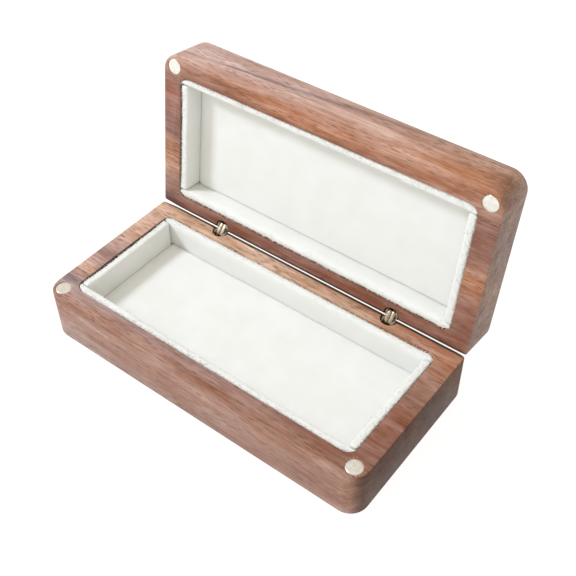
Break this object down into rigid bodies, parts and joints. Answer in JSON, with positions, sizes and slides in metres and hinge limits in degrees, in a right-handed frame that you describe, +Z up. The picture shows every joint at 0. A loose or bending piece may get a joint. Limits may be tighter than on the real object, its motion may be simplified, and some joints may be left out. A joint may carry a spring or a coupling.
{
  "type": "hinged ring box",
  "caption": "Slim two-part wooden ring box with a padded suede tray in each half, barrel hinges at the back and disc magnets in the front corners.",
  "frame": {"origin": "centre of the flat underside of the base half", "axes": "+X runs along the length of the box to its right end, +Y points to the hinged back, +Z points up out of the base"},
  "size_m": [0.12, 0.0787, 0.0732],
  "materials": {
    "walnut": "oiled walnut, satin, open pores",
    "suede": "ivory suede with a short soft nap",
    "nickel": "bright nickel plate, lightly clouded with glue",
    "pale_brass": "pale brass, turned and slotted",
    "pin_steel": "plain steel wire"
  },
  "bodies": {
    "base": {"base_body": "walnut", "base_magnet_left": "nickel", "base_magnet_right": "nickel", "base_lining_front": "suede", "base_lining_rear": "suede", "base_lining_left": "suede", "base_lining_right": "suede", "base_lining_floor": "suede", "left_hinge_base_barrel": "pale_brass", "left_hinge_base_pin": "pin_steel", "right_hinge_base_barrel": "pale_brass", "right_hinge_base_pin": "pin_steel"},
    "hinge_links": {"left_hinge_link_1": "pale_brass", "left_hinge_link_2": "pale_brass", "right_hinge_link_1": "pale_brass", "right_hinge_link_2": "pale_brass"},
    "lid": {"lid_body": "walnut", "lid_magnet_left": "nickel", "lid_magnet_right": "nickel", "lid_lining_front": "suede", "lid_lining_rear": "suede", "lid_lining_left": "suede", "lid_lining_right": "suede", "lid_lining_floor": "suede", "left_hinge_lid_barrel": "pale_brass", "left_hinge_lid_pin": "pin_steel", "right_hinge_lid_barrel": "pale_brass", "right_hinge_lid_pin": "pin_steel"}
  },
  "joints": [
    {"name": "link_swing", "type": "hinge", "parent": "base", "child": "hinge_links", "pos_m": [0, 0.0255, 0.0166], "axis": [1, 0, 0], "range_deg": [0, 49]},
    {"name": "lid_swing", "type": "hinge", "parent": "hinge_links", "child": "lid", "pos_m": [0, 0.02776, 0.01857], "axis": [1, 0, 0], "range_deg": [0, 49]}
  ],
  "couplings": [
    {"joint": "link_swing", "follows": "lid_swing", "ratio": 1}
  ]
}
